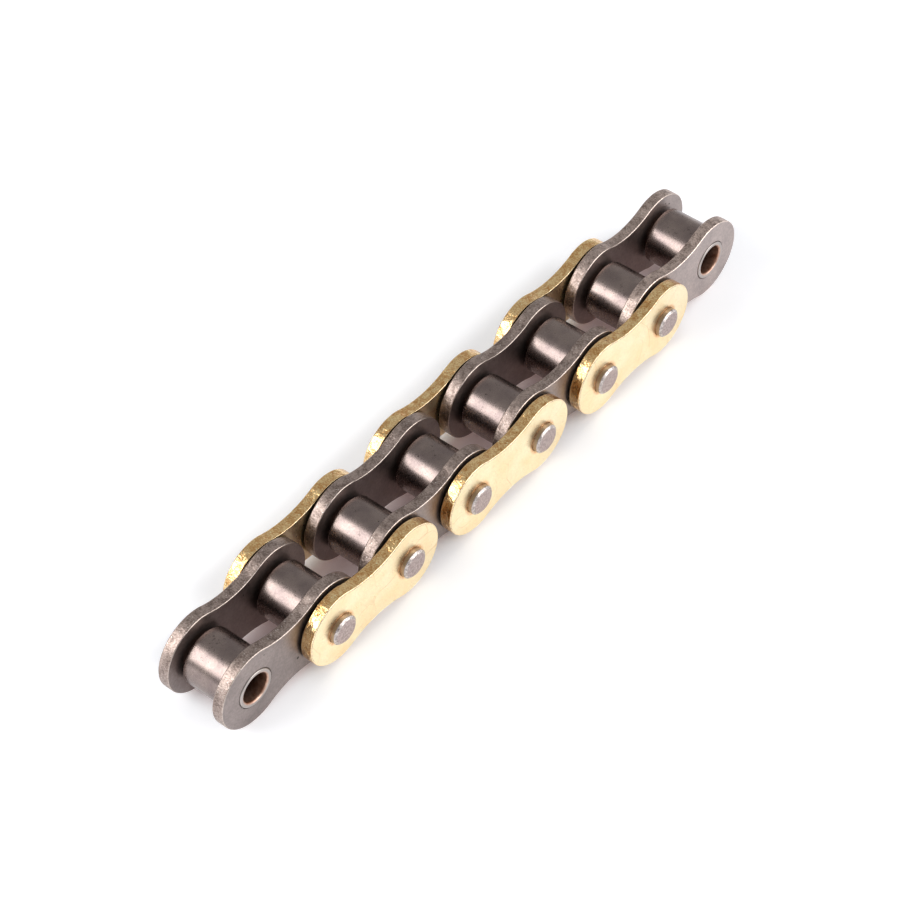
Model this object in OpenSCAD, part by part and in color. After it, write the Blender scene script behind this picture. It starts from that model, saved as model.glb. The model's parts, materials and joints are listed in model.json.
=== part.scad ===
// A straight length of roller chain: roller links joined by pin links.
// X runs along the chain, Y along the pins with the near side at -Y, Z up.
// The origin is under the middle of the chain, on the surface it lies on.

/* [Chain] */
// Distance from one pin centre to the next
pitch = 12.7; // [12:0.1:14]

/* [Inner plates] */
// Clear width between the two inner plates of a roller link
inner_width = 6.8; // [6.2:0.1:8]
// Thickness of an inner plate
inner_plate_t = 1.6; // [1.2:0.05:2]
// Height of an inner plate across its round ends
inner_plate_h = 11.2; // [10:0.1:11.8]
// Height of an inner plate at its waist
inner_waist_h = 8.6; // [7.4:0.1:9.6]

/* [Outer plates] */
// Gap between an inner plate and the outer plate beside it
side_gap = 0.3; // [0.2:0.05:0.6]
// Thickness of an outer plate
outer_plate_t = 1.65; // [1.2:0.05:2]
// Height of an outer plate across its round ends
outer_plate_h = 10.4; // [9:0.1:11.4]
// Height of an outer plate at its waist
outer_waist_h = 8.05; // [7:0.05:8.6]

/* [Plate edges] */
// Width of the bevel that tumbling leaves along every plate edge
edge_bevel = 0.12; // [0.05:0.01:0.25]

/* [Pins] */
// Diameter of a pin
pin_d = 3.96; // [3.5:0.02:4.3]
// Length of pin that stands out of each outer plate
pin_stand = 0.88; // [0.4:0.02:1.2]
// Width of the bevel round each end of a pin
pin_bevel_w = 0.34; // [0.1:0.02:0.45]
// Depth of that bevel along the pin
pin_bevel_depth = 0.24; // [0.1:0.02:0.35]

/* [Bushes] */
// Radial clearance of a pin in its bush
pin_clearance = 0.05; // [0.02:0.01:0.1]
// Outer diameter of a bush
bush_d = 5.3; // [5:0.05:5.9]
// Length of bush that stands proud of each inner plate
bush_stand = 0.12; // [0:0.01:0.15]
// Width of the lead-in bevel at each mouth of the bush's bore
bore_bevel = 0.18; // [0.05:0.01:0.3]
// Radius of the rounded lip at each end of a bush
lip_r = 0.15; // [0.05:0.01:0.2]

/* [Rollers] */
// Outer diameter of a roller
roller_d = 7.7; // [7.2:0.05:8.5]
// Radial clearance of a roller on its bush
roller_clearance = 0.08; // [0.03:0.01:0.1]
// Side play left between a roller and the near inner plate
near_play = 0.1; // [0.05:0.05:0.4]
// Side play left between a roller and the far inner plate
far_play = 0.5; // [0.05:0.05:0.8]
// Radius of the rounded rim at each end of a roller
rim_r = 0.4; // [0.1:0.05:0.6]

/* [Hidden] */
$fn = 96;
inner_links = 4;
outer_links = inner_links - 1;
joints = 2 * inner_links;
pins = 2 * outer_links;

// Heights and sides, from the sizes above
axis_z = inner_plate_h / 2;
inner_face_y = inner_width / 2;
outer_face_y = inner_face_y + inner_plate_t + side_gap;
pin_l = 2 * (outer_face_y + outer_plate_t + pin_stand);
bush_l = inner_width + 2 * (inner_plate_t + bush_stand);
bush_bore_r = pin_d / 2 + pin_clearance;
roller_l = inner_width - near_play - far_play;
roller_y = (near_play - far_play) / 2;

// How far a cutting shape runs past what it cuts
cut = 1;
// How far the waist's arc bites into the round ends, and the web into the waist's cut
waist_bite = 0.002;
waist_reach = 0.1;

// Place along X of joint i, counted from the -X end of the chain
function joint_x(i) = (i - (joints + 1) / 2) * pitch;

// Middle of roller link i, and of pin link i
function inner_link_x(i) = (joint_x(2 * i - 1) + joint_x(2 * i)) / 2;
function outer_link_x(i) = (joint_x(2 * i) + joint_x(2 * i + 1)) / 2;

// Radius of the waist's arc, which meets both round ends without a corner.
// It bites a hair into them, so that the surfaces cross cleanly.
function waist_arc(end_r, waist_r) =
    (pow(pitch / 2, 2) + pow(waist_r, 2) - pow(end_r - waist_bite, 2))
    / (2 * (end_r - waist_bite - waist_r));

// Stands a piece drawn round Z on the axis of a joint, with its middle at y
module on_axis(x, y = 0) {
    translate([x, y, axis_z]) rotate([90, 0, 0]) children();
}

// A round end of a plate, bevelled at both faces and centred on Z = 0
module round_end(end_r, t) {
    rotate_extrude() polygon([
        [0, -t / 2], [end_r - edge_bevel, -t / 2], [end_r, edge_bevel - t / 2],
        [end_r, t / 2 - edge_bevel], [end_r - edge_bevel, t / 2], [0, t / 2]
    ]);
}

// What the waist takes away on one side, flared to leave the same bevel
module waist_cutter(arc_r, t) {
    rotate_extrude() polygon([
        [0, -t], [arc_r + edge_bevel + t / 2, -t], [arc_r, edge_bevel - t / 2],
        [arc_r, t / 2 - edge_bevel], [arc_r + edge_bevel + t / 2, t], [0, t]
    ]);
}

// A link plate lying in XY: two round ends and a web, waisted on both sides.
// The web's corners lie on the lines from end centre to waist centre, inside the cut.
module link_plate(plate_h, waist_h, t, hole_r) {
    end_r = plate_h / 2;
    arc_r = waist_arc(end_r, waist_h / 2);
    arc_y = waist_h / 2 + arc_r;
    share = (end_r + waist_reach) / (end_r + arc_r);
    corner = [pitch / 2 * (1 - share), arc_y * share];
    difference() {
        union() {
            for (side = [-1, 1])
                translate([side * pitch / 2, 0, 0]) round_end(end_r, t);
            translate([0, 0, -t / 2]) linear_extrude(t) polygon([
                [-pitch / 2, 0], [-corner.x, corner.y], corner,
                [pitch / 2, 0], [corner.x, -corner.y], -corner
            ]);
        }
        for (side = [-1, 1]) {
            translate([0, side * arc_y, 0]) waist_cutter(arc_r, t);
            translate([side * pitch / 2, 0, 0])
                cylinder(r = hole_r, h = t + 2 * cut, center = true);
        }
    }
}

// Inner plate of roller link i; side is -1 on the near side and 1 on the far side
module inner_plate(i, side) {
    color("dimgray")
    on_axis(inner_link_x(i), side * (inner_face_y + inner_plate_t / 2))
        link_plate(inner_plate_h, inner_waist_h, inner_plate_t, bush_d / 2);
}

// Outer plate of pin link i
module outer_plate(i, side) {
    color("gold")
    on_axis(outer_link_x(i), side * (outer_face_y + outer_plate_t / 2))
        link_plate(outer_plate_h, outer_waist_h, outer_plate_t, pin_d / 2);
}

// Pin i, which goes through joint i + 1
module pin(i) {
    r = pin_d / 2;
    color("silver")
    on_axis(joint_x(i + 1)) rotate_extrude() polygon([
        [0, -pin_l / 2], [r - pin_bevel_w, -pin_l / 2], [r, pin_bevel_depth - pin_l / 2],
        [r, pin_l / 2 - pin_bevel_depth], [r - pin_bevel_w, pin_l / 2], [0, pin_l / 2]
    ]);
}

// What rounds off both outer corners of a turned profile of outer radius r and length l
module corner_cutters(r, l, round_r) {
    for (end = [-1, 1]) translate([r - round_r, end * (l / 2 - round_r)]) difference() {
        translate([0, end > 0 ? 0 : -cut]) square([cut, cut]);
        circle(r = round_r);
    }
}

// Bush of joint i, pressed into both inner plates
module bush(i) {
    r = bush_d / 2;
    color("darkgray")
    on_axis(joint_x(i)) rotate_extrude() difference() {
        polygon([
            [bush_bore_r, bore_bevel - bush_l / 2], [bush_bore_r + bore_bevel, -bush_l / 2],
            [r, -bush_l / 2], [r, bush_l / 2],
            [bush_bore_r + bore_bevel, bush_l / 2], [bush_bore_r, bush_l / 2 - bore_bevel]
        ]);
        corner_cutters(r, bush_l, lip_r);
    }
}

// Roller of joint i, a tube with rounded rims that turns on the bush
module roller(i) {
    r = roller_d / 2;
    bore_r = bush_d / 2 + roller_clearance;
    color("gray")
    on_axis(joint_x(i), roller_y) rotate_extrude() difference() {
        translate([bore_r, -roller_l / 2]) square([r - bore_r, roller_l]);
        corner_cutters(r, roller_l, rim_r);
    }
}

for (i = [1 : inner_links]) {
    inner_plate(i, -1);
    inner_plate(i, 1);
}
for (i = [1 : outer_links]) {
    outer_plate(i, -1);
    outer_plate(i, 1);
}
for (i = [1 : pins]) {
    pin(i);
}
for (i = [1 : joints]) {
    bush(i);
    roller(i);
}
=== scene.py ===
import json
import math

import bmesh
import bpy
import numpy as np
from mathutils import Matrix, Vector

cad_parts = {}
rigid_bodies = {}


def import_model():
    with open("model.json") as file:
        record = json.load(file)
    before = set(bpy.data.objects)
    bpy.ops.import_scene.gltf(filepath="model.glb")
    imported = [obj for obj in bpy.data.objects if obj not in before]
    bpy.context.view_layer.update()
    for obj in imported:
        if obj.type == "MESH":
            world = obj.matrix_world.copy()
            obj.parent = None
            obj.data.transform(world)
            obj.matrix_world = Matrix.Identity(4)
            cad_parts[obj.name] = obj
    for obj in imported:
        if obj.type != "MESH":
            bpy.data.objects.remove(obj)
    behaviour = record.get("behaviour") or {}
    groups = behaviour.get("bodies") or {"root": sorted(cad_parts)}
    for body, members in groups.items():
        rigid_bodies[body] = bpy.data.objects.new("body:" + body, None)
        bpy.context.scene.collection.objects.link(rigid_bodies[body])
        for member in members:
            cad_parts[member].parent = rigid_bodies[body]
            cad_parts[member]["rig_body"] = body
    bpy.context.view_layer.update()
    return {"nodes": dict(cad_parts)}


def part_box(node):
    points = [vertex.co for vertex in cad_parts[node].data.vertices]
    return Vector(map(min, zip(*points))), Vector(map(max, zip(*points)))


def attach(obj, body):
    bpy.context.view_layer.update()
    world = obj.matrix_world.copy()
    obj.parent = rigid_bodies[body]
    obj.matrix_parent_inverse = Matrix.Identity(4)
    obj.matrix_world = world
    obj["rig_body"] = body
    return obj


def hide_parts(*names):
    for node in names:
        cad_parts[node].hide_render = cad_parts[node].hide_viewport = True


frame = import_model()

# Lengths are worked out in millimetres, and meshes and places go into the scene in metres
MM = 0.001

# Heights of the plates at their waists, which their boxes don't show
INNER_WAIST_H = 8.6
OUTER_WAIST_H = 8.05
# Radius of the bore of a bush, and of the bore of a roller, which runs on the bush
BUSH_BORE_R = 2.03
ROLLER_BORE_R = 2.73

# Corners of a plate rounded by tumbling, and the broken edge of each hole
PLATE_ROUND = 0.15
HOLE_ROUND = 0.07
# Spacing of the points along a plate's edge, and the rows of points across the flat of the edge
EDGE_STEP = 0.15
EDGE_ROWS = 11
# A plate's face has a narrow ring beside its rim and its hole, and one this share of the way out
FACE_RING = 0.06
MIDDLE_RING = 0.65
# How deep the sheared edge of a plate is torn, how far apart the coarse tears lie, their share of the
# depth, and how much their noise is stretched through the plate, where the punch has drawn them
TEAR_DEPTH = 0.02
TEAR_SIZE = 0.33
COARSE_SHARE = 0.65
TEAR_STRETCH = 1 / 0.55

# The flat face of a pin's end, in rings at shares of its radius, and the width and depth of its bevel
PIN_FACE_RINGS = (0, 0.3, 0.6, 0.85)
PIN_BEVEL_W = 0.34
PIN_BEVEL_D = 0.24
# The round at both corners of that bevel. Its middle lies past the corner and under the flat by
# these shares of the round.
PIN_ROUND = 0.05
PAST_CORNER = 0.2
UNDER_FLAT = 0.12

# The rounded lip at the end of a bush, the rows beside it in lip rounds from the end, and the round
# at the mouth of the bore
LIP_ROUND = 0.15
LIP_ROWS = (2, 1.1)
BORE_ROUND = 0.28
# Over what depth the bore of a bush is painted darker further in, as painted shade
BORE_SHADE_DEPTH = 2.2
# Rounded rims of a roller, the round at the mouth of its bore, and the rows along its outside, of
# which the last ones lie this far from the rims
RIM_ROUND = 0.4
ROLLER_BORE_ROUND = 0.15
ROLLER_ROWS = 7
ROLLER_INSET = 0.4

# Steps round a quarter circle, fewer at a hole's mouth and more at a roller's rim, and full circle
ROUND_STEPS = 5
HOLE_STEPS = 3
RIM_STEPS = 8
TURN_STEPS = 160

# How far painted shade reaches round the seam of a bush, and how far tarnish from staking, with
# painted shade of the pin, reaches round a pin, each with its strength on the wall of the hole
BUSH_SEAM_SHADE = (0.09, 1.0)
PIN_TARNISH_AND_SHADE = (0.46, 0.0)
# Dents in the steel plates: place and radius
DENTS = (((-37.25, -5.0, 3.9), 0.24), ((46.7, 3.4, 9.1), 0.17), ((45.9, 3.4, 9.7), 0.12))
# Plates painted lighter, from 0 to 1, as painted light falling more strongly on them, and the factor
# for the lightest
PLATES_PAINTED_LIGHTER = {"inner_plate_near_4": 1.0, "inner_plate_far_4": 0.6, "inner_plate_near_3": 0.15}
PAINTED_LIGHTEST = 1.45

# Grit of the worked surfaces. Real grit is finer than 0.1 mm, and is drawn so coarse that it shows.
GRIT_SIZE = 0.3
# Clouds of tone on the plates and on the rollers, patches of flecks on the rollers, and blotches in
# the bores of the bushes
CLOUD_SIZE = 3.0
ROLLER_CLOUD_SIZE = 2.2
FLECK_PATCH_SIZE = 1.8
BLOTCH_SIZE = 0.9
# Broad swells of a plate's sheared edge, and how much they count beside its pebbles in its colour,
# where they paint patches of sheen
SWELL_SIZE = 1.1
SWELL_SHEEN_SHARE = 0.65
# How much the pebbles of a sheared edge are stretched through the thickness
PEBBLE_STRETCH = 1 / 0.6
# Height of the grit on a plate's face, how much roughness varies with it, and the share of the
# pebbles' height that is left on rubbed corners
FACE_GRIT = 0.002
SATIN_DRIFT = 0.16
RUBBED_SHARE = 0.3
# Handling scratches on the gold: how wide they swirl and how wide a line is, and how strong they are.
# Real ones are finer, and are drawn so wide that they show.
GOLD_HAIRLINES = ((5.5, 0.05), (8.0, 0.07))
HAIRLINE_SHARE = 0.38
# Noise lies mostly between these values, which are spread over a pattern's whole range
NOISE_SPAN = {"From Min": 0.35, "From Max": 0.65}
WIDE_SPAN = {"From Min": 0.3, "From Max": 0.7}

# The photograph's viewpoint: angles in degrees, and lengths from the chain's middle
CAMERA_AZIMUTH = -49.6687
CAMERA_ELEVATION = 48.2592
CAMERA_ROLL = -1.5026
CAMERA_DISTANCE = 340.68
AIM_RIGHT = -1.974
AIM_UP = -1.131
LENS = 110.54
SENSOR = 36
CLIP_START = 10

# The softboxes: the way to each, its distance, its side and its radiance
KEY_BOX = ((-0.695, 0.431, 0.575), 270, 172, 4.3)
FRONT_BOX = ((0.42, -0.82, 0.38), 600, 600, 2.6)
# Grey of the tent at its foot and at its top, and how high up the top's grey begins, with 1 overhead
TENT_FOOT = 0.56
TENT_TOP = 0.45
TENT_RISE = 0.8

# Painted shadow on the floor under and close round the chain, where the paper's own white is held back:
# half-length, middle and half-width, for the wide run of the outer plates and for the whole chain
WIDE_PAINTED_SHADOW = (34, 3.8, 8.7)
LONG_PAINTED_SHADOW = (44, 3.5, 5.7)
PAINTED_SHADOW_BLEND = 4
# The paper's own white in the painted shadow under the chain and away from it. Painted warm bounce
# light from the steel tints it as far as its sides.
WHITE_BELOW = 0.12
WHITE_AWAY = 0.34
PAINTED_BOUNCE_BELOW = "#ffcfc8"
WARM_SIDE = 4
WARM_FADE = 1.5
FLOOR_HALF = 3000

# Factors that scatter the corners of a cell of noise, its seed, and the top of what comes out
SCATTER = np.array([73856093, 19349663, 83492791])
SCATTER_SEED = 7919
SCATTER_MIX = 1274126177
SCATTER_TOP = 65535


def box_mm(node):
    """Lowest and highest corner of a node of the frame, in millimetres."""
    low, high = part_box(node)
    return np.array(low) / MM, np.array(high) / MM


def round_size(node):
    """Outer radius and half the length of a piece that is round about Y, from its box."""
    low, high = box_mm(node)
    return (high[2] - low[2]) / 2, (high[1] - low[1]) / 2


def hex_rgba(code):
    """An sRGB hex colour as linear red, green, blue and full alpha."""
    parts = [int(code[i:i + 2], 16) / 255 for i in (1, 3, 5)]
    linear = [c / 12.92 if c <= 0.04045 else ((c + 0.055) / 1.055) ** 2.4 for c in parts]
    return (*linear, 1.0)


def grain(points, size, seed):
    """Smooth noise from -1 to 1 in cells `size` wide.

    Each corner of a cell has a scattered value, and a point blends the eight by 3t^2 - 2t^3.
    """
    cell = np.floor(points / size).astype(np.int64)
    part = points / size - cell
    part = part * part * (3 - 2 * part)
    total = np.zeros(points.shape[:-1])
    for corner in np.ndindex(2, 2, 2):
        at = cell + np.array(corner)
        mixed = (at * SCATTER).sum(-1) + seed * SCATTER_SEED
        mixed = (mixed ^ (mixed >> 13)) * SCATTER_MIX
        mixed = (mixed ^ (mixed >> 16)) & SCATTER_TOP
        weight = np.where(np.array(corner) == 1, part, 1 - part).prod(-1)
        total += weight * (2 * mixed / SCATTER_TOP - 1)
    return total


def grid_faces(rows, columns, start, wrap_rows, wrap_columns):
    """Corner numbers of the quads of a grid whose first point is number `start`."""
    row = np.arange(rows if wrap_rows else rows - 1)[:, None]
    column = np.arange(columns if wrap_columns else columns - 1)[None, :]
    next_row = (row + 1) % rows
    next_column = (column + 1) % columns
    corners = [
        row * columns + column, row * columns + next_column,
        next_row * columns + next_column, next_row * columns + column,
    ]
    return np.stack(corners, -1).reshape(-1, 4) + start


def piece_from(node, surfaces, material, tone=0.0):
    """Joins surfaces into one closed mesh that stands for a CAD node and rides on its body.

    A surface is a dict: points as (rows, columns, 3) in millimetres, the names of the directions
    that close on themselves, and marks as (rows, columns) from 0 to 1: edge where it is worked,
    corner where it is rubbed, stain and painted shade round a hole. Tone, from 0 to 1, is how much
    lighter the piece is painted, as painted light.
    """
    name = node + "_finished"
    points = np.concatenate([s["points"].reshape(-1, 3) for s in surfaces]) * MM
    marks = {
        mark: np.concatenate([s.get(mark, 0 * s["edge"]).reshape(-1) for s in surfaces])
        for mark in ("edge", "corner", "stain")
    }
    marks["tone"] = np.full(len(points), tone)
    faces, start = [], 0
    for s in surfaces:
        rows, columns = s["points"].shape[:2]
        wraps = ("rows" in s["closed"], "columns" in s["closed"])
        faces.append(grid_faces(rows, columns, start, *wraps))
        start += rows * columns
    mesh = bpy.data.meshes.new(name)
    mesh.from_pydata(points.tolist(), [], np.concatenate(faces).tolist())
    for mark, values in marks.items():
        attribute = mesh.attributes.new(mark, "FLOAT", "POINT")
        attribute.data.foreach_set("value", values.astype(np.float32))
    shape = bmesh.new()
    shape.from_mesh(mesh)
    bmesh.ops.remove_doubles(shape, verts=shape.verts, dist=1e-3 * MM)
    bmesh.ops.dissolve_degenerate(shape, edges=shape.edges, dist=1e-4 * MM)
    bmesh.ops.recalc_face_normals(shape, faces=shape.faces)
    shape.to_mesh(mesh)
    shape.free()
    mesh.shade_smooth()
    mesh.materials.append(material)
    piece = bpy.data.objects.new(name, mesh)
    bpy.context.scene.collection.objects.link(piece)
    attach(piece, frame["nodes"][node]["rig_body"])
    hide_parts(node)


def quarter(steps):
    """Cosines and sines of a quarter turn, from 0 to 90 degrees."""
    turn = np.linspace(0, math.pi / 2, steps + 1)
    return np.cos(turn), np.sin(turn)


def half_outline(end_x, end_r, waist_r):
    """One half of a link plate's outline, from the top waist round the end to the bottom waist.

    A waist is an arc of radius a = (end_x^2 + waist_r^2 - end_r^2) / (2 (end_r - waist_r)) about
    (0, waist_r + a). It meets the round end of radius end_r about (end_x, 0) without a corner.
    Returns the points and their outward normals as arrays of (x, z).
    """
    arc_r = (end_x ** 2 + waist_r ** 2 - end_r ** 2) / (2 * (end_r - waist_r))
    meet = math.asin(end_x / (end_r + arc_r))
    turn = np.linspace(0, meet, round(arc_r * meet / EDGE_STEP), endpoint=False)
    normal = np.stack([-np.sin(turn), np.cos(turn)], -1)
    waist = np.array([0, waist_r + arc_r]) - arc_r * normal
    sweep = math.pi / 2 + meet
    turn = np.linspace(sweep, -sweep, round(2 * end_r * sweep / EDGE_STEP))
    end_normal = np.stack([np.cos(turn), np.sin(turn)], -1)
    end = np.array([end_x, 0]) + end_r * end_normal
    below = np.array([1, -1])
    points = np.concatenate([waist, end, (waist * below)[::-1]])
    normals = np.concatenate([normal, end_normal, (normal * below)[::-1]])
    return points, normals


def plate_edge(points, normals, thickness, seed):
    """The edge band of half a plate: the outline carried through the thickness, with round corners.

    Its section runs from PLATE_ROUND inside the outline on one face, round a quarter circle, along
    the edge and round another to the other face. The flat of the section is torn inwards by the
    grain. The edge mark rises to 1 round each corner, and the corner mark peaks on the way.
    """
    cos, sin = quarter(ROUND_STEPS)
    flat = np.linspace(PLATE_ROUND, thickness - PLATE_ROUND, EDGE_ROWS)
    inset = np.concatenate([PLATE_ROUND * (1 - sin[:-1]), 0 * flat, PLATE_ROUND * (1 - cos[1:])])
    depth = np.concatenate([
        PLATE_ROUND * (1 - cos[:-1]), flat, thickness - PLATE_ROUND * (1 - sin[1:]),
    ])
    across = points[None] - normals[None] * inset[:, None, None]
    band = np.stack([across[..., 0], np.repeat(depth[:, None], len(points), 1), across[..., 1]], -1)
    share = np.clip(1 - inset / PLATE_ROUND, 0, 1)
    coarse = grain(band / [1, TEAR_STRETCH, 1], TEAR_SIZE, seed)
    fine = grain(band, TEAR_SIZE / 2, seed + 1)
    torn = COARSE_SHARE * coarse + (1 - COARSE_SHARE) * fine
    sink = TEAR_DEPTH * share[:, None] ** 2 * (0.5 + 0.5 * torn)
    band[..., 0] -= normals[None, :, 0] * sink
    band[..., 2] -= normals[None, :, 1] * sink
    edge = np.repeat(share[:, None], len(points), 1)
    corner = (4 * edge ** 2 * (1 - edge ** 2)) ** 1.5
    return {"points": band, "edge": edge, "corner": corner, "closed": ()}


def rays(rim, hole_x):
    """Ways from the middle of a hole to the points of the rim, and how far off each point is."""
    ray = rim - np.array([hole_x, 0])
    reach = np.linalg.norm(ray, axis=-1, keepdims=True)
    return ray / reach, reach


def plate_face(rim, hole_x, hole_r, y, stain_and_shade_reach):
    """One face of half a plate: rings that open from the hole's edge to the rim, all in one plane.

    A ring's point lies at the ring's distance along the ray from the hole's middle to the rim's
    point. The stain and painted shade round the hole fade evenly over their reach.
    """
    ray, reach = rays(rim, hole_x)
    near = hole_r + HOLE_ROUND
    start = near + 0 * reach
    distance = np.stack([
        start, start + FACE_RING, start + stain_and_shade_reach,
        near + MIDDLE_RING * (reach - near), reach - FACE_RING, reach,
    ])
    stain = np.clip(1 - (distance[..., 0] - near) / stain_and_shade_reach, 0, 1)
    flat = np.array([hole_x, 0]) + ray[None] * distance
    points = np.stack([flat[..., 0], np.full(flat.shape[:2], y), flat[..., 1]], -1)
    return {"points": points, "edge": 0 * stain, "stain": stain, "closed": ("columns",)}


def plate_hole(rim, hole_x, hole_r, thickness, stain):
    """The wall of a hole through half a plate, with a rounded mouth on both faces."""
    ray, _ = rays(rim, hole_x)
    cos, sin = quarter(HOLE_STEPS)
    radius = hole_r + HOLE_ROUND * np.concatenate([1 - sin, 1 - cos])
    depth = np.concatenate([HOLE_ROUND * (1 - cos), thickness - HOLE_ROUND * (1 - sin)])
    flat = np.array([hole_x, 0]) + ray[None] * radius[:, None, None]
    points = np.stack([flat[..., 0], np.repeat(depth[:, None], len(rim), 1), flat[..., 1]], -1)
    whole = np.ones(flat.shape[:2])
    return {"points": points, "edge": whole, "stain": stain * whole, "closed": ("columns",)}


def mirrored(surface):
    """The same surface on the plate's other half."""
    return {**surface, "points": surface["points"] * np.array([-1, 1, 1])}


def link_plate(node, waist_h, hole_r, stain, material, seed):
    """A waisted link plate from two mirrored halves, each with its edge, two faces and its hole.

    Stain is how far the stain and painted shade reach round a hole, and their strength on the hole's
    wall.
    """
    low, high = box_mm(node)
    height, thickness = high[2] - low[2], high[1] - low[1]
    hole_x = (high[0] - low[0] - height) / 2
    points, normals = half_outline(hole_x, height / 2, waist_h / 2)
    rim = points - normals * PLATE_ROUND
    middle_z = np.linspace(rim[-1, 1], rim[0, 1], round(waist_h / EDGE_STEP))[1:-1]
    rim = np.concatenate([rim, np.stack([0 * middle_z, middle_z], -1)])
    reach, wall_stain_and_shade = stain
    half = [
        plate_edge(points, normals, thickness, seed),
        plate_face(rim, hole_x, hole_r, 0, reach),
        plate_face(rim, hole_x, hole_r, thickness, reach),
        plate_hole(rim, hole_x, hole_r, thickness, wall_stain_and_shade),
    ]
    surfaces = half + [mirrored(s) for s in half]
    place = np.array([(low[0] + high[0]) / 2, low[1], (low[2] + high[2]) / 2])
    for s in surfaces:
        s["points"] = s["points"] + place
    piece_from(node, surfaces, material, PLATES_PAINTED_LIGHTER.get(node, 0.0))


def turned_piece(node, profile, closed, material):
    """Turns a profile of (radius, along, edge) rows full circle round Y, on the axis of its node."""
    low, high = box_mm(node)
    radius, along, edge = np.array(profile).T[..., None]
    turn = np.linspace(0, 2 * math.pi, TURN_STEPS, endpoint=False)
    whole = np.ones(TURN_STEPS)
    points = np.stack([radius * np.cos(turn), along * whole, radius * np.sin(turn)], -1)
    surface = {"points": points + (low + high) / 2, "edge": edge * whole, "closed": closed}
    piece_from(node, [surface], material)


def rounded(r, y, radius, start, steps=ROUND_STEPS):
    """Profile rows along a quarter circle of `radius` about (r, y), from `start` quarter turns on."""
    turn = (start + np.linspace(0, 1, steps + 1)) * math.pi / 2
    return [(r + radius * math.cos(t), y + radius * math.sin(t), 1.0) for t in turn]


def other_end(profile):
    """The rows of a profile again at the piece's other end, in the order that carries it on."""
    return [(radius, -along, edge) for radius, along, edge in reversed(profile)]


def pin(node, material):
    """A pin with bevelled ends: flat face, bevel, barrel, with each corner a little round."""
    r, half = round_size(node)
    face_r = r - PIN_BEVEL_W
    foot = half - PIN_BEVEL_D
    slope = math.atan2(PIN_BEVEL_D, PIN_BEVEL_W)
    slope_r, slope_y = PIN_ROUND * math.cos(slope), PIN_ROUND * math.sin(slope)
    past, under = PIN_ROUND * PAST_CORNER, PIN_ROUND * UNDER_FLAT
    end = [(face_r * share, half, 0.0) for share in PIN_FACE_RINGS] + [
        (face_r - PIN_ROUND, half, 0.1),
        (face_r + past, half - under, 0.6),
        (face_r + slope_r, half - slope_y, 1.0),
        (r - slope_r, foot + slope_y, 1.0),
        (r - under, foot - past, 1.0),
        (r, foot - PIN_ROUND, 1.0),
        (r, foot - 3 * PIN_ROUND, 1.0),
    ]
    turned_piece(node, end + other_end(end), ("columns",), material)


def bush(node, material):
    """A bush: a tube with a rounded lip at both ends. Its edge mark fades into the bore."""
    r, half = round_size(node)
    outside = [(r, half - rows * LIP_ROUND, 0.0) for rows in LIP_ROWS]
    lip = rounded(r - LIP_ROUND, half - LIP_ROUND, LIP_ROUND, 0)
    mouth = rounded(BUSH_BORE_R + BORE_ROUND, half - BORE_ROUND, BORE_ROUND, 1)
    mouth = [
        (radius, along, (1 - step / ROUND_STEPS) ** 2)
        for step, (radius, along, _) in enumerate(mouth)
    ]
    wall = [(BUSH_BORE_R, y, 0.0) for y in (half - 2 * BORE_ROUND, 0, 2 * BORE_ROUND - half)]
    upper = outside + lip + mouth
    turned_piece(node, upper + wall + other_end(upper), ("columns", "rows"), material)


def roller(node, material):
    """A roller: a tube with wide rounded rims and a lightly rounded bore."""
    r, half = round_size(node)
    last = half - RIM_ROUND - ROLLER_INSET
    outside = [(r, y, 0.0) for y in np.linspace(-last, last, ROLLER_ROWS)]
    rim = rounded(r - RIM_ROUND, half - RIM_ROUND, RIM_ROUND, 0, RIM_STEPS)
    mouth_y = half - ROLLER_BORE_ROUND
    mouth = rounded(ROLLER_BORE_R + ROLLER_BORE_ROUND, mouth_y, ROLLER_BORE_ROUND, 1)
    upper = rim + mouth
    turned_piece(node, outside + upper + other_end(upper), ("columns", "rows"), material)


def add(tree, kind, inputs=None, output=None, **settings):
    """Adds a shader node and gives back one of its outputs, the first in use where none is named.

    Inputs are keyed by socket, each a value or another node's output; settings are its properties.
    A Mix goes by number: 0 is the share, 2 and 3 are the two values, 6 and 7 the two colours.
    """
    made = tree.nodes.new("ShaderNode" + kind)
    for key, value in settings.items():
        setattr(made, key, value)
    for key, value in (inputs or {}).items():
        if isinstance(value, bpy.types.NodeSocket):
            tree.links.new(value, made.inputs[key])
        else:
            made.inputs[key].default_value = value
    return made.outputs[output] if output else next(o for o in made.outputs if o.enabled)


def place_mm(tree):
    """Where a point lies in the chain's own frame, in millimetres."""
    place = add(tree, "TexCoord", output="Object")
    return add(tree, "VectorMath", {0: place, "Scale": 1 / MM}, operation="SCALE")


def off_middle(tree, place, axis, middle=0.0):
    """Distance of a place from `middle` along one axis, to either side."""
    along = add(tree, "SeparateXYZ", {0: place}, output=axis)
    along = add(tree, "Math", {0: along, 1: middle}, operation="SUBTRACT")
    return add(tree, "Math", {0: along}, operation="ABSOLUTE")


def metal(name):
    """A bare metal to finish: its material, its tree, place in millimetres and the edge mark."""
    material = bpy.data.materials.new(name)
    material.use_nodes = True
    tree = material.node_tree
    tree.nodes["Principled BSDF"].inputs["Metallic"].default_value = 1.0
    edge = add(tree, "Attribute", output="Fac", attribute_name="edge")
    return material, tree, place_mm(tree), edge


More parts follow.
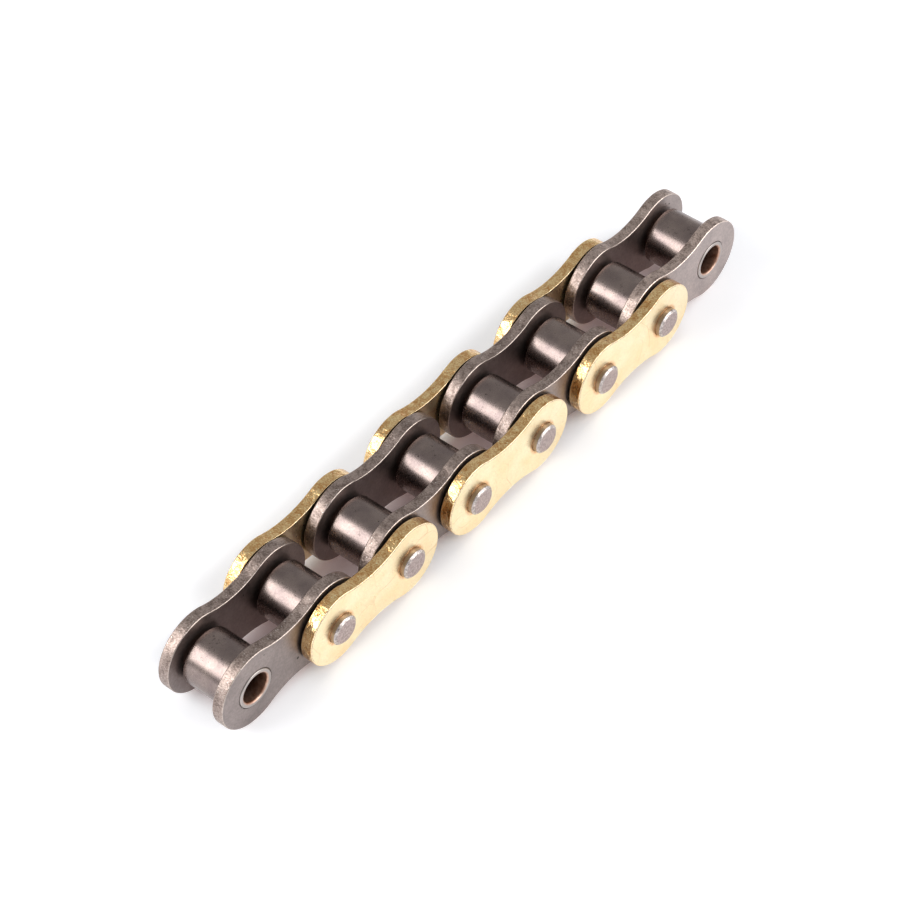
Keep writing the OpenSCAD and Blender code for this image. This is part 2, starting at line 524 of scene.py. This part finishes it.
def finish(tree, colour, roughness, height_mm):
    """Links a finish to the shader, its relief as a height in millimetres."""
    shader = tree.nodes["Principled BSDF"]
    height = add(tree, "Math", {0: height_mm, 1: MM}, operation="MULTIPLY")
    bump = add(tree, "Bump", {"Height": height, "Strength": 1.0, "Distance": 1.0})
    tree.links.new(colour, shader.inputs["Base Color"])
    tree.links.new(roughness, shader.inputs["Roughness"])
    tree.links.new(bump, shader.inputs["Normal"])


def spots(tree, place, spacing, radius):
    """Tiny round spots about `spacing` apart: 0 at `radius`, rising to 1 at half of it."""
    reach = add(tree, "TexVoronoi", {"Vector": place, "Scale": 1 / spacing}, output="Distance")
    return add(tree, "MapRange", {
        "Value": reach, "From Min": radius / spacing, "From Max": 0.5 * radius / spacing,
    })


def hairlines(tree, place, swirl, width):
    """Curved handling scratches, here and there, as soft lines about `width` wide.

    They run where a smooth field, `swirl` across, passes its middle value.
    """
    field = add(tree, "TexNoise", {"Vector": place, "Scale": 1 / swirl, "Detail": 0.6})
    away = add(tree, "Math", {0: field, 1: 0.5}, operation="SUBTRACT")
    away = add(tree, "Math", {0: away}, operation="ABSOLUTE")
    slope = width / swirl
    line = add(tree, "MapRange", {"Value": away, "From Min": 0.7 * slope, "From Max": 0.2 * slope})
    patch = add(tree, "TexNoise", {
        "Vector": place, "Scale": 1.4 / swirl, "W": 3.0,
    }, noise_dimensions="4D")
    patch = add(tree, "MapRange", {"Value": patch, "From Min": 0.45, "From Max": 0.6})
    return add(tree, "Math", {0: line, 1: patch}, operation="MULTIPLY")


def sheared_side(tree, place, torn, pebble_size):
    """The sheared edge of a blanked plate: its colour, and the shapes of its pebbles and its swells.

    Torn is its darkest and its lightest colour. A punch draws the pebbles longer through the
    thickness. Real ones are about 0.1 mm across, and are drawn half as coarse again so that they show.
    """
    drawn = add(tree, "VectorMath", {0: place, 1: (1, PEBBLE_STRETCH, 1)}, operation="DIVIDE")
    pebble = add(tree, "TexNoise", {
        "Vector": drawn, "Scale": 1 / pebble_size, "Detail": 2.0, "Roughness": 0.7,
    })
    swell = add(tree, "TexNoise", {"Vector": place, "Scale": 1 / SWELL_SIZE, "Detail": 2.0})
    speck = add(tree, "MapRange", {"Value": pebble, "From Min": 0.36, "From Max": 0.65})
    # The swells also paint broad patches of sheen into the edge's colour, beside the pebbles' grain
    patch = add(tree, "MapRange", {"Value": swell, **NOISE_SPAN})
    speck = add(tree, "Math", {0: patch, 1: SWELL_SHEEN_SHARE, 2: speck}, operation="MULTIPLY_ADD")
    speck = add(tree, "MapRange", {"Value": speck, "From Min": 0.2, "From Max": 1.4})
    dark, light = map(hex_rgba, torn)
    side = add(tree, "Mix", {0: speck, 6: dark, 7: light}, data_type="RGBA")
    return side, pebble, swell


def plate_finish(name, face, gritty, torn, burnished, hole_stain_and_shade, hole_stain_and_shade_least, rough, shear):
    """A blanked and tumbled plate: satin face, sheared edge of fine pebbles, burnished corners.

    Face is two colours that cloud into each other, and gritty the share by which grit shades them.
    Torn is the darkest and lightest colour of the sheared edge, and burnished that of the corners.
    Then the colour of stain and painted shade round a hole, and its strength in its cleanest blotches.
    Rough is the roughness of face, edge and corner. Shear is the size and the height of the sheared
    edge's pebbles, and the height of its broad swells, in millimetres.
    """
    material, tree, place, edge = metal(name)
    cloud = add(tree, "TexNoise", {"Vector": place, "Scale": 1 / CLOUD_SIZE, "Detail": 4.0})
    cloud = add(tree, "MapRange", {"Value": cloud, **NOISE_SPAN})
    fine = add(tree, "TexNoise", {"Vector": place, "Scale": 1 / GRIT_SIZE, "Detail": 2.0})
    grit = add(tree, "MapRange", {
        "Value": fine, **WIDE_SPAN, "To Min": 1 - gritty, "To Max": 1 + gritty,
    })
    flat = add(tree, "Mix", {0: cloud, 6: hex_rgba(face[0]), 7: hex_rgba(face[1])}, data_type="RGBA")
    flat = add(tree, "VectorMath", {0: flat, "Scale": grit}, operation="SCALE")
    pebble_size, pebble_height, swell_height = shear
    side, pebble, swell = sheared_side(tree, place, torn, pebble_size)
    colour = add(tree, "Mix", {0: edge, 6: flat, 7: side}, data_type="RGBA")

    corner = add(tree, "Attribute", output="Fac", attribute_name="corner")
    rubbed = add(tree, "MapRange", {
        "Value": pebble, "From Min": 0.35, "From Max": 0.6, "To Min": 0.35,
    })
    corner = add(tree, "Math", {0: corner, 1: rubbed}, operation="MULTIPLY")
    colour = add(tree, "Mix", {0: corner, 6: colour, 7: hex_rgba(burnished)}, data_type="RGBA")
    # Round a hole: tarnish with painted shade round a pin, painted shade at the seam of a bush
    stain = add(tree, "Attribute", output="Fac", attribute_name="stain")
    blotch = add(tree, "MapRange", {"Value": fine, **NOISE_SPAN, "To Min": hole_stain_and_shade_least})
    stain = add(tree, "Math", {0: stain, 1: blotch}, operation="MULTIPLY")
    colour = add(tree, "Mix", {0: stain, 6: colour, 7: hex_rgba(hole_stain_and_shade)}, data_type="RGBA")

    rough_face, rough_edge, rough_corner = rough
    least = rough_face - SATIN_DRIFT / 2
    roughness = add(tree, "Math", {0: fine, 1: SATIN_DRIFT, 2: least}, operation="MULTIPLY_ADD")
    roughness = add(tree, "Mix", {0: edge, 2: roughness, 3: rough_edge})
    roughness = add(tree, "Mix", {0: corner, 2: roughness, 3: rough_corner})
    relief = add(tree, "Mix", {0: edge, 2: FACE_GRIT, 3: pebble_height})
    relief = add(tree, "Mix", {0: corner, 2: relief, 3: RUBBED_SHARE * pebble_height})
    height = add(tree, "Mix", {0: edge, 2: fine, 3: pebble})
    swell = add(tree, "Math", {0: swell, 1: swell_height}, operation="MULTIPLY")
    swell = add(tree, "Math", {0: swell, 1: edge}, operation="MULTIPLY")
    height = add(tree, "Math", {0: height, 1: relief, 2: swell}, operation="MULTIPLY_ADD")
    return material, tree, place, edge, colour, roughness, height


def tumbled_steel():
    """Heat-treated carbon steel, tumbled in media: a brownish satin grey with the odd pit.

    Its sheared edges are grainy and dark with painted glints, between corners rubbed bright.
    """
    material, tree, place, edge, colour, roughness, height = plate_finish(
        "tumbled_steel", face=("#8d827f", "#9a8e8a"), gritty=0.14, torn=("#75665f", "#bcaaa1"),
        # The dark colour round each hole is painted shade at the seam of the bush
        burnished="#d2c4ba", hole_stain_and_shade="#4b413d", hole_stain_and_shade_least=1.0,
        rough=(0.4, 0.42, 0.26), shear=(0.16, 0.036, 0.07),
    )
    pit = spots(tree, place, spacing=2.6, radius=0.12)
    for middle, radius in DENTS:
        reach = add(tree, "VectorMath", {0: place, 1: middle}, output="Value", operation="DISTANCE")
        dent = add(tree, "MapRange", {"Value": reach, "From Min": radius, "From Max": 0.5 * radius})
        pit = add(tree, "Math", {0: pit, 1: dent}, operation="MAXIMUM")
    # Painted light: the plates listed are made lighter, standing in for more light falling on them
    tone = add(tree, "Attribute", output="Fac", attribute_name="tone")
    tone = add(tree, "MapRange", {"Value": tone, "To Min": 1.0, "To Max": PAINTED_LIGHTEST})
    colour = add(tree, "VectorMath", {0: colour, "Scale": tone}, operation="SCALE")
    colour = add(tree, "Mix", {0: pit, 6: colour, 7: hex_rgba("#2b2422")}, data_type="RGBA")
    # Painted glints: bright specks on the sheared edge
    painted_glint = spots(tree, place, spacing=0.55, radius=0.08)
    painted_glint = add(tree, "Math", {0: painted_glint, 1: edge}, operation="MULTIPLY")
    colour = add(tree, "Mix", {0: painted_glint, 6: colour, 7: hex_rgba("#e8dfd8")}, data_type="RGBA")
    finish(tree, colour, roughness, height)
    return material


def gold_plating():
    """Flash gold over nickel on a steel plate: pale and bright on the flat, with curved hairlines.

    On the sheared edge it is deeper and pebbled, from golden brown to bright yellow.
    """
    material, tree, place, edge, colour, roughness, height = plate_finish(
        "gold_plating", face=("#ffe6b8", "#fff0ca"), gritty=0.05, torn=("#cd9657", "#ffe2aa"),
        # The orange round each hole is tarnish from staking, with painted shade of the pin
        burnished="#fff0d2", hole_stain_and_shade="#dc8f42", hole_stain_and_shade_least=0.4,
        rough=(0.3, 0.25, 0.16), shear=(0.15, 0.022, 0.24),
    )
    # Painted glints: bright yellow specks on the sheared edge
    painted_glint = spots(tree, place, spacing=0.6, radius=0.09)
    painted_glint = add(tree, "Math", {0: painted_glint, 1: edge}, operation="MULTIPLY")
    colour = add(tree, "Mix", {0: painted_glint, 6: colour, 7: hex_rgba("#fffad0")}, data_type="RGBA")
    on_face = add(tree, "MapRange", {
        "Value": edge, "From Max": 0.2, "To Min": HAIRLINE_SHARE, "To Max": 0.0,
    })
    for swirl, width in GOLD_HAIRLINES:
        line = hairlines(tree, place, swirl, width)
        line = add(tree, "Math", {0: line, 1: on_face}, operation="MULTIPLY")
        colour = add(tree, "Mix", {0: line, 6: colour, 7: hex_rgba("#d9a768")}, data_type="RGBA")
    finish(tree, colour, roughness, height)
    return material


def cropped_pin_steel():
    """Drawn rod, cropped and bevelled: a mottled grey face, a bright rough bevel, a dull barrel."""
    material, tree, place, edge = metal("cropped_pin_steel")
    _, half = round_size("pin_1")
    foot = half - PIN_BEVEL_D
    across = off_middle(tree, place, "Y")
    barrel = add(tree, "MapRange", {"Value": across, "From Min": foot, "From Max": foot - PIN_ROUND})
    mottle = add(tree, "TexNoise", {
        "Vector": place, "Scale": 1 / GRIT_SIZE, "Detail": 3.0, "Roughness": 0.7,
    })
    shade = add(tree, "MapRange", {"Value": mottle, **NOISE_SPAN})
    dark, light = hex_rgba("#92827f"), hex_rgba("#c4b3b0")
    face = add(tree, "Mix", {0: shade, 6: dark, 7: light}, data_type="RGBA")
    dark, light = hex_rgba("#8f8480"), hex_rgba("#d9cfca")
    bevel = add(tree, "Mix", {0: shade, 6: dark, 7: light}, data_type="RGBA")
    colour = add(tree, "Mix", {0: edge, 6: face, 7: bevel}, data_type="RGBA")
    colour = add(tree, "Mix", {0: barrel, 6: colour, 7: hex_rgba("#a3948a")}, data_type="RGBA")
    roughness = add(tree, "Mix", {0: edge, 2: 0.42, 3: 0.24})
    relief = add(tree, "Mix", {0: edge, 2: 0.012, 3: 0.04})
    height = add(tree, "Math", {0: mottle, 1: relief}, operation="MULTIPLY")
    finish(tree, colour, roughness, height)
    return material


def bush_steel():
    """Curled and ground bush steel: a satin lip, and a bore browned by old oil and a little rust,
    painted darker further in as painted shade.
    """
    material, tree, place, edge = metal("bush_steel")
    stain = add(tree, "TexNoise", {
        "Vector": place, "Scale": 1 / BLOTCH_SIZE, "Detail": 4.0, "Roughness": 0.65,
    })
    shade = add(tree, "MapRange", {"Value": stain, "From Min": 0.38, "From Max": 0.62})
    dark, light = hex_rgba("#b5866e"), hex_rgba("#e2bda6")
    bore = add(tree, "Mix", {0: shade, 6: dark, 7: light}, data_type="RGBA")
    _, half = round_size("bush_1")
    lit = half - LIP_ROUND
    across = off_middle(tree, place, "Y")
    # Painted shade: the bore gets darker further in
    deep = add(tree, "MapRange", {"Value": across, "From Min": lit, "From Max": lit - BORE_SHADE_DEPTH})
    bore = add(tree, "Mix", {0: deep, 6: bore, 7: hex_rgba("#4f3a34")}, data_type="RGBA")
    colour = add(tree, "Mix", {0: edge, 6: bore, 7: hex_rgba("#b4aba6")}, data_type="RGBA")
    roughness = add(tree, "Mix", {0: edge, 2: 0.45, 3: 0.3})
    height = add(tree, "Math", {0: stain, 1: 0.006}, operation="MULTIPLY")
    finish(tree, colour, roughness, height)
    return material


def roller_steel():
    """Case-hardened roller steel: dark gunmetal, smooth from rolling, faintly clouded.

    The odd pit and patches of fine dark flecks show where the media has marked it.
    """
    material, tree, place, edge = metal("roller_steel")
    cloud = add(tree, "TexNoise", {"Vector": place, "Scale": 1 / ROLLER_CLOUD_SIZE, "Detail": 4.0})
    cloud = add(tree, "MapRange", {"Value": cloud, **NOISE_SPAN})
    fine = add(tree, "TexNoise", {
        "Vector": place, "Scale": 1 / GRIT_SIZE, "Detail": 2.0, "Roughness": 0.6,
    })
    patch = add(tree, "TexNoise", {
        "Vector": place, "Scale": 1 / FLECK_PATCH_SIZE, "W": 5.0,
    }, noise_dimensions="4D")
    patch = add(tree, "MapRange", {
        "Value": patch, "From Min": 0.45, "From Max": 0.65, "To Max": 0.16,
    })
    fleck = add(tree, "Math", {0: fine, 1: patch}, operation="ADD")
    fleck = add(tree, "MapRange", {
        "Value": fleck, "From Min": 0.71, "From Max": 0.8, "To Max": 0.5,
    })
    pit = spots(tree, place, spacing=2.2, radius=0.11)
    mark = add(tree, "Math", {0: fleck, 1: pit}, operation="MAXIMUM")
    dark, light = hex_rgba("#837572"), hex_rgba("#968781")
    colour = add(tree, "Mix", {0: cloud, 6: dark, 7: light}, data_type="RGBA")
    colour = add(tree, "Mix", {0: edge, 6: colour, 7: hex_rgba("#9a8a83")}, data_type="RGBA")
    grit = add(tree, "MapRange", {"Value": fine, **WIDE_SPAN, "To Min": 0.94, "To Max": 1.06})
    colour = add(tree, "VectorMath", {0: colour, "Scale": grit}, operation="SCALE")
    colour = add(tree, "Mix", {0: mark, 6: colour, 7: hex_rgba("#3a312e")}, data_type="RGBA")
    roughness = add(tree, "MapRange", {"Value": fine, **WIDE_SPAN, "To Min": 0.32, "To Max": 0.24})
    relief = add(tree, "Mix", {0: edge, 2: 0.003, 3: 0.001})
    height = add(tree, "Math", {0: fine, 1: relief}, operation="MULTIPLY")
    finish(tree, colour, roughness, height)
    return material


def dress_chain():
    """Makes every piece of the chain in place of its CAD node."""
    steel, gold, pin_metal = tumbled_steel(), gold_plating(), cropped_pin_steel()
    bush_metal, roller_metal = bush_steel(), roller_steel()
    bush_r, _ = round_size("bush_1")
    pin_r, _ = round_size("pin_1")
    for number, name in enumerate(sorted(frame["nodes"])):
        if name.startswith("inner_plate"):
            link_plate(name, INNER_WAIST_H, bush_r, BUSH_SEAM_SHADE, steel, number)
        elif name.startswith("outer_plate"):
            link_plate(name, OUTER_WAIST_H, pin_r, PIN_TARNISH_AND_SHADE, gold, number)
        elif name.startswith("pin"):
            pin(name, pin_metal)
        elif name.startswith("bush"):
            bush(name, bush_metal)
        else:
            roller(name, roller_metal)


def camera():
    """A camera that looks past the chain's middle by the aim, turned about its own axis by the roll."""
    azimuth, elevation, roll = map(math.radians, (CAMERA_AZIMUTH, CAMERA_ELEVATION, CAMERA_ROLL))
    back = Vector((
        math.sin(azimuth) * math.cos(elevation), -math.cos(azimuth) * math.cos(elevation),
        math.sin(elevation),
    ))
    level = Vector((math.cos(azimuth), math.sin(azimuth), 0))
    up = back.cross(level)
    right = math.cos(roll) * level + math.sin(roll) * up
    top = math.cos(roll) * up - math.sin(roll) * level
    low, high = box_mm("pin_1")
    middle = Vector((0, 0, (low[2] + high[2]) / 2))
    eye = (middle + AIM_RIGHT * right + AIM_UP * top + CAMERA_DISTANCE * back) * MM
    data = bpy.data.cameras.new("camera")
    data.sensor_width = SENSOR
    data.lens = LENS
    data.clip_start = CLIP_START * MM
    made = bpy.data.objects.new("camera", data)
    made.matrix_world = Matrix((
        (right.x, top.x, back.x, eye.x), (right.y, top.y, back.y, eye.y),
        (right.z, top.z, back.z, eye.z), (0, 0, 0, 1),
    ))
    bpy.context.scene.collection.objects.link(made)
    bpy.context.scene.camera = made


def softbox(name, direction, distance, size, radiance):
    """A square area lamp that faces the chain. Its power is radiance times pi times its area."""
    data = bpy.data.lights.new(name, "AREA")
    data.size = size * MM
    data.energy = radiance * math.pi * (size * MM) ** 2
    lamp = bpy.data.objects.new(name, data)
    lamp.visible_camera = False
    way = Vector(direction).normalized()
    lamp.location = way * distance * MM
    lamp.rotation_mode = "QUATERNION"
    lamp.rotation_quaternion = way.to_track_quat("Z", "Y")
    bpy.context.scene.collection.objects.link(lamp)


def studio():
    """A light tent: a key softbox behind on the left, a wide low one in front, and a dim dome."""
    softbox("key", *KEY_BOX)
    softbox("front", *FRONT_BOX)
    world = bpy.data.worlds.new("tent")
    world.use_nodes = True
    bpy.context.scene.world = world
    tree = world.node_tree
    way = add(tree, "TexCoord", output="Generated")
    height = add(tree, "SeparateXYZ", {0: way}, output="Z")
    grey = add(tree, "MapRange", {
        "Value": height, "From Max": TENT_RISE, "To Min": TENT_FOOT, "To Max": TENT_TOP,
    })
    tree.links.new(grey, tree.nodes["Background"].inputs["Color"])


def beyond(tree, place, hold):
    """Distance outside a rectangle on the floor: the greater of those past its ends and its sides."""
    half_length, middle, half_width = hold
    ends, sides = off_middle(tree, place, "X"), off_middle(tree, place, "Y", middle)
    ends = add(tree, "Math", {0: ends, 1: half_length}, operation="SUBTRACT")
    sides = add(tree, "Math", {0: sides, 1: half_width}, operation="SUBTRACT")
    return add(tree, "Math", {0: ends, 1: sides, 2: PAINTED_SHADOW_BLEND}, operation="SMOOTH_MAX")


def white_paper():
    """Matt white paper, a little cool. Rays that show it see some of the paper's own white.

    That white is held back under and close round the chain as painted shadow, and is tinted below it
    with painted warm bounce light from the steel.
    """
    material = bpy.data.materials.new("white_paper")
    material.use_nodes = True
    tree = material.node_tree
    shader = tree.nodes["Principled BSDF"]
    shader.inputs["Base Color"].default_value = hex_rgba("#f1f2f6")
    shader.inputs["Roughness"].default_value = 0.9
    shader.inputs["Specular IOR Level"].default_value = 0.0
    place = place_mm(tree)
    # Painted shadow: the paper's own white is held back under and round the chain
    away = add(tree, "Math", {
        0: beyond(tree, place, WIDE_PAINTED_SHADOW), 1: beyond(tree, place, LONG_PAINTED_SHADOW), 2: PAINTED_SHADOW_BLEND,
    }, operation="SMOOTH_MIN")
    outside_painted_shadow = add(tree, "MapRange", {
        "Value": away, "From Max": PAINTED_SHADOW_BLEND,
    }, interpolation_type="SMOOTHSTEP")
    white = add(tree, "MapRange", {"Value": outside_painted_shadow, "To Min": WHITE_BELOW, "To Max": WHITE_AWAY})
    shown = 0.0
    for kind in ("Camera", "Glossy", "Transmission"):
        ray = add(tree, "LightPath", output=f"Is {kind} Ray")
        shown = add(tree, "Math", {0: shown, 1: ray}, operation="ADD")
    glow = add(tree, "Math", {0: shown, 1: white}, operation="MULTIPLY")
    tree.links.new(glow, shader.inputs["Emission Strength"])
    # Painted warm bounce light from the steel tints the floor's white below the chain
    across = off_middle(tree, place, "Y")
    outside = add(tree, "MapRange", {
        "Value": across, "From Min": WARM_SIDE, "From Max": WARM_SIDE + WARM_FADE,
    })
    outside = add(tree, "Math", {0: outside, 1: outside_painted_shadow}, operation="MAXIMUM")
    warm, plain = hex_rgba(PAINTED_BOUNCE_BELOW), hex_rgba("#ffffff")
    tint = add(tree, "Mix", {0: outside, 6: warm, 7: plain}, data_type="RGBA")
    tree.links.new(tint, shader.inputs["Emission Color"])
    return material


def floor():
    """A wide flat floor of white paper, which keeps the chain's shadow."""
    mesh = bpy.data.meshes.new("floor")
    half = FLOOR_HALF * MM
    corners = [(-half, -half, 0), (half, -half, 0), (half, half, 0), (-half, half, 0)]
    mesh.from_pydata(corners, [], [(0, 1, 2, 3)])
    mesh.materials.append(white_paper())
    made = bpy.data.objects.new("floor", mesh)
    bpy.context.scene.collection.objects.link(made)


bpy.context.scene.view_settings.view_transform = "Standard"
camera()
studio()
floor()
dress_chain()
